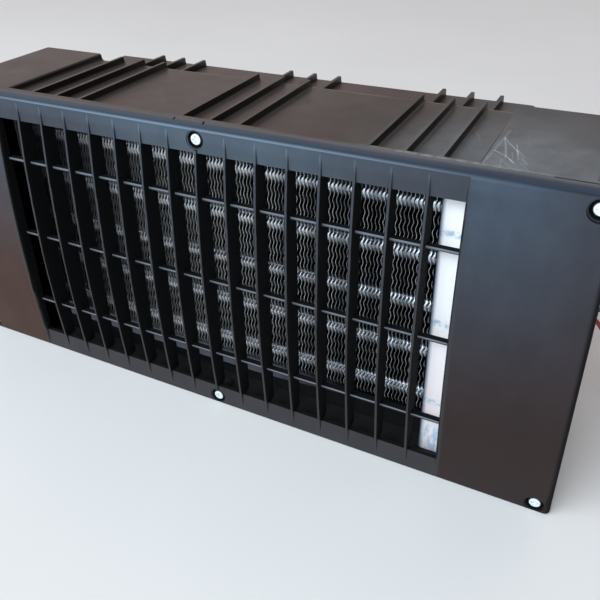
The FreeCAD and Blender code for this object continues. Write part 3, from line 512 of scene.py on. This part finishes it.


# the housings: a warm layer of dust on what faces up, greyer and scuffed at the front right, with painted
# shade on the rib sides
housingLook = {
    "topFacing": (0.75, 1.0),
    "topZ": (0.15, 0.16),
    "dust": (0.066, 0.052, 0.047),
    "dustRight": (0.026, 0.021, 0.018),
    "dustRightX": (0.0, 0.08),
    "dustBlock": (0.037, 0.044, 0.048),
    "dustBlockX": (0.085, 0.135),
    "speck": {"grain": (90, 5.0, 0.7), "stops": ((0.4, 0.75), (0.8, 1.0))},
    "shade": (0.0020, 0.0018, 0.0018),
    "sideFacing": (0.5, 0.9),
    "sideZ": (0.155, 0.165),
    "haze": (0.142, 0.168, 0.182),
    "hazeX": (0.055, 0.15),
    "hazeY": (0.03, -0.06),
    "hazeEndX": (0.150, 0.185),
    "hazeEnd": 0.65,
    "hazeCloud": {"grain": (60, 5.0, 0.7), "stops": ((0.35, 0.45), (0.7, 1.0))},
    # pale front edge, worn in flecks on the right
    "edge": (0.20, 0.21, 0.20),
    "brinkX": (-0.10, -0.05),
    "brinkY": (-0.0588, -0.0606),
    "brinkShare": 0.16,
    "wornFromX": (0.07, 0.11),
    "wornToX": (0.175, 0.145),
    "wornY": (-0.0575, -0.0595),
    "flecks": {"grain": (420, 4.0, 0.7), "stops": ((0.42, 0.0), (0.62, 1.0))},
    # rubbed line along the back edge of the front housing
    "fold": (0.150, 0.110, 0.085),
    "foldY": (0.0229, 0.0245, 0.0004),
    "foldZ": (0.1720, 0.1735, 0.0002),
    "foldRub": {"grain": (50, 3.0), "stops": ((0.4, 0.3), (0.6, 0.8))},
    "seamWidth": 0.0003,
    "softLine": 0.0004,
    # ejector mark
    "mark": ((0.0293, -0.0015), (0.0294, -0.0015)),
    "markRadius": 0.0012,
    "markShare": 0.6,
    "gloss": {"grain": (40, 3.0), "stops": ((0.3, 0.38), (0.75, 0.50))},
    "relief": {"grain": (1500, 2.0, 0.6), "strength": 0.16, "depth": 0.0003},
    "shine": 0.42,
    "scuff": (0.52, 0.55, 0.57),
    "broken": {"grain": (750, 4.0, 0.7), "stops": ((0.38, 0.12), (0.6, 1.0))},
    # start, end, width and strength of each scuff
    "scuffs": [
        ((0.1380, -0.0570), (0.1399, -0.0249), 0.0009, 0.22),
        ((0.1399, -0.0249), (0.1403, -0.0145), 0.0007, 0.20),
        ((0.1400, -0.0248), (0.1451, -0.0451), 0.0003, 0.40),
        ((0.1393, -0.0422), (0.1451, -0.0467), 0.0002, 0.90),
        ((0.1451, -0.0467), (0.1495, -0.0527), 0.0003, 0.85),
        ((0.1402, -0.0248), (0.1440, -0.0320), 0.0002, 0.40),
        ((0.1440, -0.0320), (0.1487, -0.0393), 0.0002, 0.70),
        ((0.1487, -0.0393), (0.1507, -0.0482), 0.0002, 0.35),
        ((0.1470, -0.0324), (0.1487, -0.0393), 0.0002, 0.30),
        ((0.1469, -0.0418), (0.1484, -0.0492), 0.0002, 0.25),
        ((0.1489, -0.0392), (0.1529, -0.0456), 0.0002, 0.30),
        ((0.1393, -0.0456), (0.1450, -0.0517), 0.0002, 0.15),
        ((0.1510, -0.0466), (0.1552, -0.0531), 0.0002, 0.25),
        ((0.1361, -0.0562), (0.1363, -0.0422), 0.0002, 0.20),
        ((-0.0640, -0.0100), (-0.0420, -0.0370), 0.0001, 0.10),
        ((-0.0600, 0.0000), (-0.0560, -0.0300), 0.0001, 0.06),
        ((0.0230, -0.0160), (0.0285, -0.0110), 0.0008, 0.06),
        ((0.1401, -0.0240), (0.1454, -0.0496), 0.0001, 0.30),
        ((0.1466, -0.0309), (0.1507, -0.0491), 0.0001, 0.35),
        ((0.1462, -0.0356), (0.1550, -0.0520), 0.0001, 0.30),
        ((0.1442, -0.0509), (0.1449, -0.0589), 0.0002, 0.18),
        ((0.1473, -0.0495), (0.1514, -0.0560), 0.0001, 0.25),
        ((0.1514, -0.0507), (0.1570, -0.0591), 0.0001, 0.22),
        ((0.1243, -0.0114), (0.1280, -0.0205), 0.0002, 0.14),
        ((0.1499, -0.0197), (0.1527, -0.0328), 0.0003, 0.08),
        ((0.1423, -0.0300), (0.1509, -0.0414), 0.0001, 0.25),
        ((0.1412, -0.0552), (0.1460, -0.0591), 0.0002, 0.16),
        ((0.1455, -0.0533), (0.1497, -0.0587), 0.0001, 0.18),
    ],
}


def dustAndSideShadeTone(finish, look, lying):
    dust = finish.mix(finish.at("X", look["dustRightX"]), look["dust"], look["dustRight"])
    dust = finish.mix(finish.at("X", look["dustBlockX"]), dust, look["dustBlock"])
    tone = finish.mix(finish.times(lying, finish.patches(**look["speck"])), mouldTone(finish), dust)
    # painted shade on the sides of the ribs and blocks
    side = finish.fit(finish.math("ABSOLUTE", finish.facing("X")), look["sideFacing"])
    tone = finish.mix(finish.times(side, finish.at("Z", look["sideZ"])), tone, look["shade"])
    end = finish.ramp(finish.at("X", look["hazeEndX"]), (0.0, 1.0), (1.0, look["hazeEnd"]))
    haze = finish.times(lying, finish.at("X", look["hazeX"]), finish.at("Y", look["hazeY"]))
    haze = finish.times(haze, finish.patches(**look["hazeCloud"]), end)
    return finish.mix(haze, tone, look["haze"])


def wearTone(finish, look, lying, tone):
    brink = finish.times(lying, finish.at("Y", look["brinkY"]), finish.at("X", look["brinkX"]))
    tone = finish.mix(finish.times(brink, look["brinkShare"]), tone, look["edge"])
    worn = finish.times(finish.at("X", look["wornFromX"]), finish.at("X", look["wornToX"]))
    worn = finish.times(lying, worn, finish.at("Y", look["wornY"]))
    tone = finish.mix(finish.times(worn, finish.patches(**look["flecks"])), tone, look["edge"])
    fold = finish.times(lying, finish.at("Y", look["foldY"]), finish.at("Z", look["foldZ"]))
    tone = finish.mix(finish.times(fold, finish.patches(**look["foldRub"])), tone, look["fold"])
    broken = finish.times(lying, finish.patches(**look["broken"]))
    for start, end, width, share in look["scuffs"]:
        line = finish.stroke(start, end, width / 2, look["softLine"])
        tone = finish.mix(finish.times(broken, line, share), tone, look["scuff"])
    seam = finish.stroke(*fasciaLook["seam"], look["seamWidth"], look["softLine"])
    tone = finish.mix(finish.times(lying, seam), tone, look["shade"])
    mark = finish.stroke(*look["mark"], look["markRadius"], look["markRadius"])
    return finish.mix(finish.times(lying, mark, look["markShare"]), tone, mouldLook["deep"])


def housingFinish(look):
    finish = Finish("housingBlack")
    lying = finish.times(finish.faces("Z", look["topFacing"]), finish.at("Z", look["topZ"]))
    finish.set(
        Base_Color=wearTone(finish, look, lying, dustAndSideShadeTone(finish, look, lying)),
        Roughness=finish.patches(**look["gloss"]),
        Normal=finish.relief(**look["relief"]),
        Specular_IOR_Level=look["shine"],
    )
    return finish


dress(fasciaFinish(fasciaLook), "front_grille")
dress(housingFinish(housingLook), "front_housing", "rear_housing", "fan_guard_left", "fan_guard_right",
      "fan_impeller_left", "fan_impeller_right", "fan_shroud_left", "fan_shroud_right")


# bright metals, streaked along the axis in which the pattern is stretched
streakLook = {
    "grain": (300, 3.0, 0.6),
    "darkTimes": 0.85,
    "roughFrom": 0.3,
    "roughTo": 0.7,
    "roughMore": 0.14,
    "strength": 0.08,
    "depth": 0.0002,
}
metalLook = {
    "zincPlate": {
        "colour": (0.82, 0.90, 0.91), "rough": 0.32, "stretch": (1, 1, 1), "metal": 0.6,
        "on": ("housing_screws", "guard_screws", "motor_screws", "core_screws"),
    },
    "sheetAluminium": {
        "colour": (0.60, 0.62, 0.65), "rough": 0.38, "stretch": (0.2, 1, 1), "metal": 1.0,
        "on": ("core_top_plate",),
    },
    "tubeAluminium": {
        "colour": (0.82, 0.83, 0.84), "rough": 0.30, "stretch": (0.1, 1, 1), "metal": 1.0,
        "on": ("core_return_bends", "inlet_pipe", "outlet_pipe"),
    },
    "shaftSteel": {
        "colour": (0.56, 0.56, 0.58), "rough": 0.30, "stretch": (1, 0.1, 1), "metal": 1.0,
        "on": ("fan_shaft_left", "fan_shaft_right", "impeller_clip_left", "impeller_clip_right"),
    },
    "insertBrass": {
        "colour": (0.80, 0.62, 0.30), "rough": 0.30, "stretch": (1, 1, 0.1), "metal": 1.0,
        "on": ("mounting_inserts",),
    },
    "tinPlate": {
        "colour": (0.70, 0.70, 0.68), "rough": 0.34, "stretch": (1, 1, 1), "metal": 1.0,
        "on": ("lead_terminal_red", "lead_terminal_black"),
    },
}
screwLook = {
    "face": (0.80, 0.88, 0.89),
    # painted shade round the edge of the head
    "rim": (0.030, 0.033, 0.036),
    "faceRadius": (0.0030, 0.0025),
    "rough": 0.32,
    "stretch": (1, 1, 1),
    "metal": 0.6,
}


def polish(finish, look):
    streak = finish.noise(*streakLook["grain"], stretch=look["stretch"])
    smooth = (streakLook["roughFrom"], look["rough"])
    rubbed = (streakLook["roughTo"], look["rough"] + streakLook["roughMore"])
    finish.set(
        Metallic=look["metal"],
        Roughness=finish.ramp(streak, smooth, rubbed),
        Normal=finish.bump(streak, streakLook["strength"], streakLook["depth"]),
    )
    return streak


def brightMetal(name, look):
    finish = Finish(name)
    streak = polish(finish, look)
    dark = tuple(streakLook["darkTimes"] * c for c in look["colour"])
    finish.set(Base_Color=finish.mix(streak, dark, look["colour"]))
    return finish


def screwFinish(look):
    # bright on the face of the head, painted shade round its edge
    finish = Finish("screwZinc")
    polish(finish, look)
    face = finish.fit(screwReach(finish), look["faceRadius"])
    finish.set(Base_Color=finish.mix(face, look["rim"], look["face"]))
    return finish


for metalName, oneMetal in metalLook.items():
    dress(brightMetal(metalName, oneMetal), *oneMetal["on"])
dress(screwFinish(screwLook), "fascia_screws")


# the right end plate, nearly white, with painted reflections: faint bluish bands of the bars level with
# them, warm bands of the table below, a pink cast low down and a bluish bend at its left edge, and bluish
# streaks of painted shade near its foot
plateLook = {
    "white": (1.0, 0.995, 0.99),
    "pink": (0.931, 0.833, 0.824),
    "pinkZ": (0.115, 0.03),
    "bands": (0.0414, 0.0915, 0.1416),
    "patchy": {"grain": (420, 3.0), "stops": ((0.42, 0.1), (0.58, 1.0))},
    "blue": (0.47, 0.59, 0.72),
    "blueZ": (-0.0016, 0.0020, 0.0010),
    "warm": (0.95, 0.82, 0.74),
    "warmZ": (-0.0050, -0.0022, 0.0012),
    "warmEndZ": (0.13, 0.12),
    "warmShare": 0.8,
    "streaks": {"grain": (420, 4.0, 0.6), "stops": ((0.42, 0.0), (0.58, 1.0)), "stretch": (1, 1, 0.3)},
    "streakZ": (0.030, 0.020),
    "bend": (0.16, 0.22, 0.32),
    "bendX": (0.1256, 0.1224),
    "metal": 0.1,
    "rough": 0.5,
    "relief": {"grain": (300, 3.0), "strength": 0.05, "depth": 0.0002},
}


def plateFinish(look):
    finish = Finish("whiteAluminium")
    tone = finish.mix(finish.at("Z", look["pinkZ"]), look["white"], look["pink"])
    patchy = finish.patches(**look["patchy"])
    for level in look["bands"]:
        height = finish.math("SUBTRACT", finish.spot("Z"), level)
        warm = finish.times(finish.fit(height, look["warmZ"]), finish.at("Z", look["warmEndZ"]))
        tone = finish.mix(finish.times(patchy, warm, look["warmShare"]), tone, look["warm"])
        tone = finish.mix(finish.times(patchy, finish.fit(height, look["blueZ"])), tone, look["blue"])
    streaks = finish.times(finish.patches(**look["streaks"]), finish.at("Z", look["streakZ"]))
    tone = finish.mix(streaks, tone, look["blue"])
    finish.set(
        Base_Color=finish.mix(finish.at("X", look["bendX"]), tone, look["bend"]),
        Metallic=look["metal"],
        Roughness=look["rough"],
        Normal=finish.relief(**look["relief"]),
    )
    return finish


# painted highlight on the core's tubes where they face the front, with painted dark reflections as eyes
# between the fins above, painted shade to the left and dimmer to the right
finPitch = 2.03  # mm from fin to fin
tubeLook = {
    "dark": (0.03, 0.03, 0.035),
    "bright": (0.96, 0.98, 1.0),
    "brightRight": (0.52, 0.56, 0.60),
    "rightX": (0.0, 0.11),
    "leftX": (-0.145, -0.10),
    "litFacing": (-0.7, 0.90, 0.07),
    "eyeFacing": (0.22, 0.66, 0.1),
    "eyeBeat": (-0.3, 0.5),
    "eyeLean": -0.5,
    "rough": 0.30,
}


def tubeFinish(look):
    # the eyes follow a cosine of the place along the tube, one wave to a fin
    finish = Finish("coreTube")
    lean = finish.math("MULTIPLY_ADD", finish.spot("Z"), look["eyeLean"], finish.spot("X"))
    beat = finish.math("COSINE", finish.math("MULTIPLY", lean, 2000 * math.pi / finPitch))
    eyes = finish.times(finish.fit(beat, look["eyeBeat"]), finish.faces("Z", look["eyeFacing"]))
    lit = finish.times(finish.faces("Z", look["litFacing"]), finish.math("SUBTRACT", 1.0, eyes))
    lit = finish.times(lit, finish.at("X", look["leftX"]))
    bright = finish.mix(finish.at("X", look["rightX"]), look["bright"], look["brightRight"])
    finish.set(
        Base_Color=finish.mix(lit, look["dark"], bright),
        Metallic=1.0,
        Roughness=look["rough"],
    )
    return finish


# the core's foot: black with painted shade, and a painted pool of light on its front lip that fades to the
# right
footLook = {
    "footShade": (0.0030, 0.0030, 0.0035),
    "lip": (0.085, 0.088, 0.100),
    "lipX": (0.085, 0.02),
    "lipZ": (0.0200, 0.0206),
    "rough": 0.75,
    "shine": 0.06,
    "relief": {"grain": (700, 3.0, 0.7), "strength": 0.2, "depth": 0.0004},
}


def footFinish(look):
    finish = Finish("shadedFootSheet")
    lip = finish.times(finish.at("Z", look["lipZ"]), finish.at("X", look["lipX"]))
    finish.set(
        Base_Color=finish.mix(lip, look["footShade"], look["lip"]),
        Roughness=look["rough"],
        Specular_IOR_Level=look["shine"],
        Normal=finish.relief(**look["relief"]),
    )
    return finish


dress(footFinish(footLook), "core_bottom_plate")
dress(plateFinish(plateLook), "core_end_plate_right")
dress(tubeFinish(tubeLook), "core_hairpins")


# foam, rubber, the left end plate darkened as painted shade, and enamel: one dark tone with pale specks
speckLook = {"grain": (700, 3.0, 0.7), "paleTimes": 2.2, "strength": 0.35, "depth": 0.0006}
softLook = {
    "foamBlack": {
        "colour": (0.006, 0.006, 0.006), "rough": 0.95, "shine": 0.05,
        "on": ("core_foam",),
    },
    "rubberBlack": {
        "colour": (0.014, 0.014, 0.014), "rough": 0.62, "shine": 0.5,
        "on": ("pipe_grommets", "lead_grommet"),
    },
    # the left end plate, darkened as painted shade
    "leftPlateShade": {
        "colour": (0.09, 0.07, 0.06), "rough": 0.7, "shine": 0.2,
        "on": ("core_end_plate_left",),
    },
    "motorEnamel": {
        "colour": (0.05, 0.05, 0.055), "rough": 0.38, "shine": 0.5,
        "on": ("fan_motor_left", "fan_motor_right"),
    },
}


def darkSoft(name, look):
    finish = Finish(name)
    speck = finish.noise(*speckLook["grain"])
    pale = tuple(speckLook["paleTimes"] * c for c in look["colour"])
    finish.set(
        Base_Color=finish.mix(speck, look["colour"], pale),
        Roughness=look["rough"],
        Specular_IOR_Level=look["shine"],
        Normal=finish.bump(speck, speckLook["strength"], speckLook["depth"]),
    )
    return finish


for softName, oneSoft in softLook.items():
    dress(darkSoft(softName, oneSoft), *oneSoft["on"])
print("finishes on the solids")


# fins: thin plates whose sheet waves from side to side as it goes up; sizes in mm
finLook = {
    "pitch": finPitch,
    "thickness": 0.15,
    "solidThickness": 0.2,
    "wave": 0.43,
    "waveLength": 7.0,
    "rows": 162,
    # painted shade between the plates
    "shadeBetween": (0.035, 0.035, 0.036),
    "bright": (0.90, 0.90, 0.90),
    "brightRight": (0.64, 0.65, 0.67),
    "rightX": (0.0, 0.11),
    "leftX": (-0.15, -0.04),
    "frontY": (-0.0535, -0.0554),
    "rough": 0.38,
    "relief": {"grain": (500, 3.0), "strength": 0.05, "depth": 0.0002},
}


def addMesh(name, points, faces, finish):
    mesh = bpy.data.meshes.new(name)
    mesh.vertices.add(len(points))
    mesh.vertices.foreach_set("co", np.asarray(points, np.float32).ravel())
    faces = np.asarray(faces, np.int32)
    mesh.loops.add(faces.size)
    mesh.loops.foreach_set("vertex_index", faces.ravel())
    mesh.polygons.add(len(faces))
    mesh.polygons.foreach_set("loop_start", np.arange(len(faces), dtype=np.int32) * faces.shape[1])
    mesh.polygons.foreach_set("loop_total", np.full(len(faces), faces.shape[1], np.int32))
    mesh.polygons.foreach_set("use_smooth", np.full(len(faces), False))
    mesh.update(calc_edges=True)
    mesh.validate()
    mesh.materials.append(finish.material)
    piece = bpy.data.objects.new(name, mesh)
    scene.collection.objects.link(piece)
    return piece


def finPack(look, finish):
    # four corners of each plate's plan, moved sideways by a sine of the height, joined row by row
    low, high = (np.array(c) * 1000 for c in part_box("core_fins"))
    solid = look["solidThickness"]
    count = int(round((high[0] - low[0] - solid) / look["pitch"])) + 1
    centre = low[0] + solid / 2 + np.arange(count) * look["pitch"]
    height = np.linspace(low[2], high[2], look["rows"])
    shift = look["wave"] * np.sin(2 * np.pi * (height - low[2]) / look["waveLength"])
    half = look["thickness"] / 2
    cornerX = np.array([-half, half, half, -half])
    cornerY = np.array([low[1], low[1], high[1], high[1]])
    points = np.zeros((count, look["rows"], 4, 3))
    points[..., 0] = np.clip(centre[:, None, None] + shift[None, :, None] + cornerX, low[0], high[0])
    points[..., 1] = cornerY
    points[..., 2] = height[None, :, None]
    index = np.arange(points[..., 0].size).reshape(count, look["rows"], 4)
    a, b = index[:, :-1], index[:, 1:]
    sides = np.stack([a, np.roll(a, -1, 2), np.roll(b, -1, 2), b], -1).reshape(-1, 4)
    ends = np.concatenate([index[:, 0, ::-1], index[:, -1]])
    piece = addMesh("rippled_fins", points.reshape(-1, 3) / 1000, np.concatenate([sides, ends]), finish)
    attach(piece, "heater")
    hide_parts("core_fins")


def finFinish(look):
    # bright along the front edges, painted shade dark between the plates and towards the left; dimmer to the
    # right
    finish = Finish("finAluminium")
    front = finish.times(finish.at("Y", look["frontY"]), finish.at("X", look["leftX"]))
    bright = finish.mix(finish.at("X", look["rightX"]), look["bright"], look["brightRight"])
    finish.set(
        Base_Color=finish.mix(front, look["shadeBetween"], bright),
        Metallic=1.0,
        Roughness=look["rough"],
        Normal=finish.relief(**look["relief"]),
    )
    return finish


finPack(finLook, finFinish(finLook))
print("fins made")


# pale floor, just below what stands on it
floorLook = {
    "tone": {"grain": (3.0, 3.0), "stops": ((0.3, (0.77, 0.75, 0.72)), (0.7, (0.81, 0.79, 0.76)))},
    "rough": 0.6,
    "half": 6,
    "level": -0.0004,
}


def floorSheet(look):
    finish = Finish("paleFloor")
    finish.set(Base_Color=finish.patches(**look["tone"]), Roughness=look["rough"])
    half, level = look["half"], look["level"]
    corners = [(-half, -half, level), (half, -half, level), (half, half, level), (-half, half, level)]
    addMesh("floor", corners, [[0, 1, 2, 3]], finish)


# one wide lamp in front, above and a little to the left
lampLook = {
    "place": (-0.7, -2.0, 2.0),
    "target": (0, 0, 0.1),
    "size": (3.4, 1.1),
    "power": 100,
    "colour": (0.82, 0.92, 1.0),
}


def softLamp(look):
    data = bpy.data.lights.new("skyFront", "AREA")
    data.shape = "RECTANGLE"
    data.size, data.size_y = look["size"]
    data.energy = look["power"]
    data.color = look["colour"]
    lamp = bpy.data.objects.new("skyFront", data)
    lamp.location = look["place"]
    aim = Vector(look["target"]) - Vector(look["place"])
    lamp.rotation_euler = aim.to_track_quat("-Z", "Y").to_euler()
    scene.collection.objects.link(lamp)


# room: warm and plain behind, a cool window wall in front, dim on the right; ranges are directions
roomLook = {
    "front": (0.26, 0.27, 0.29),
    "back": (0.64, 0.53, 0.495),
    "backY": (-0.2, 0.6),
    "window": (1.75, 2.00, 2.32),
    "windowY": (-0.35, -0.75),
    "windowFootZ": (-0.02, 0.12),
    "windowHeadZ": (0.75, 0.50),
    "right": 0.28,
    "rightX": (0.1, 0.8),
    "strength": 1.0,
}


def roomLight(look):
    world = bpy.data.worlds.new("roomLight")
    world.use_nodes = True
    room = Nodes(world.node_tree)
    x, y, z = room.axes(room.add("TexCoord").outputs["Generated"])
    tone = room.mix(room.fit(y, look["backY"]), look["front"], look["back"])
    high = room.times(room.fit(z, look["windowFootZ"]), room.fit(z, look["windowHeadZ"]))
    tone = room.mix(room.times(room.fit(y, look["windowY"]), high), tone, look["window"])
    dim = room.ramp(room.fit(x, look["rightX"]), (0.0, 1.0), (1.0, look["right"]))
    backdrop = world.node_tree.nodes["Background"]
    room.put(backdrop.inputs["Color"], room.mix(1.0, tone, dim, "MULTIPLY"))
    room.put(backdrop.inputs["Strength"], look["strength"])
    scene.world = world


floorSheet(floorLook)
softLamp(lampLook)
roomLight(roomLook)
print("light set")
